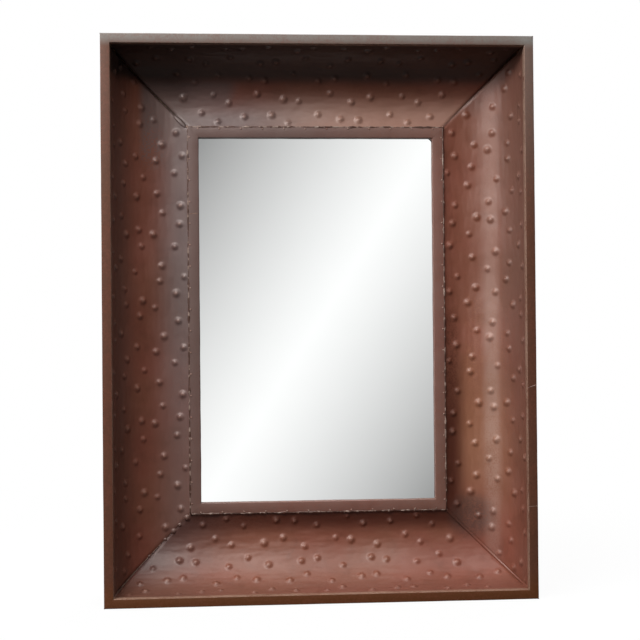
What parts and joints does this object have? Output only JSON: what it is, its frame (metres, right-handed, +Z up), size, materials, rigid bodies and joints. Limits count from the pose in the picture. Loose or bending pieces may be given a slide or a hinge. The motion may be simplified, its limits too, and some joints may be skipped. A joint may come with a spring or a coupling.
{
  "type": "framed mirror",
  "caption": "Rectangular wall mirror recessed in a deep hammered sheet-metal scoop frame with a smooth rim and lip, a wooden box behind, and swinging ring hangers on its back.",
  "frame": {"origin": "under the middle of the box, on the plane its bottom edge stands on", "axes": "+Z up along the height, +X along the width, -Y the way the mirror faces"},
  "size_m": [0.616, 0.108, 0.806],
  "materials": {
    "patinated_sheet": "semi-gloss rust-brown patina on hammered sheet",
    "pine": "bare planed softwood",
    "plywood": "bare plywood",
    "card": "grey board",
    "mirror": "silvered glass",
    "zinc_steel": "zinc-plated steel"
  },
  "bodies": {
    "frame": {"back_panel": "plywood", "backing_card": "card", "bottom_board": "pine", "bottom_cleat": "pine", "bottom_lip": "patinated_sheet", "bottom_rim": "patinated_sheet", "bottom_scoop": "patinated_sheet", "bottom_sight_strip": "pine", "cleat_screws": "zinc_steel", "hanger_screws": "zinc_steel", "left_board": "pine", "left_cleat": "pine", "left_hanger_strap": "zinc_steel", "left_lip": "patinated_sheet", "left_rim": "patinated_sheet", "left_scoop": "patinated_sheet", "left_sight_strip": "pine", "mirror_glass": "mirror", "right_board": "pine", "right_cleat": "pine", "right_hanger_strap": "zinc_steel", "right_lip": "patinated_sheet", "right_rim_lower": "patinated_sheet", "right_rim_middle": "patinated_sheet", "right_rim_upper": "patinated_sheet", "right_scoop": "patinated_sheet", "right_sight_strip": "pine", "sight_strip_screws": "zinc_steel", "top_board": "pine", "top_cleat": "pine", "top_lip": "patinated_sheet", "top_rim": "patinated_sheet", "top_scoop": "patinated_sheet", "top_sight_strip": "pine"},
    "left_ring": {"left_hanger_ring": "zinc_steel"},
    "right_ring": {"right_hanger_ring": "zinc_steel"}
  },
  "joints": [
    {"name": "left_ring_swing", "type": "hinge", "parent": "frame", "child": "left_ring", "pos_m": [-0.2659, 0.04858, 0.6045], "axis": [0, 0, 1], "range_deg": [0, 170]},
    {"name": "right_ring_swing", "type": "hinge", "parent": "frame", "child": "right_ring", "pos_m": [0.2659, 0.04858, 0.6045], "axis": [0, 0, -1], "range_deg": [0, 170]}
  ]
}
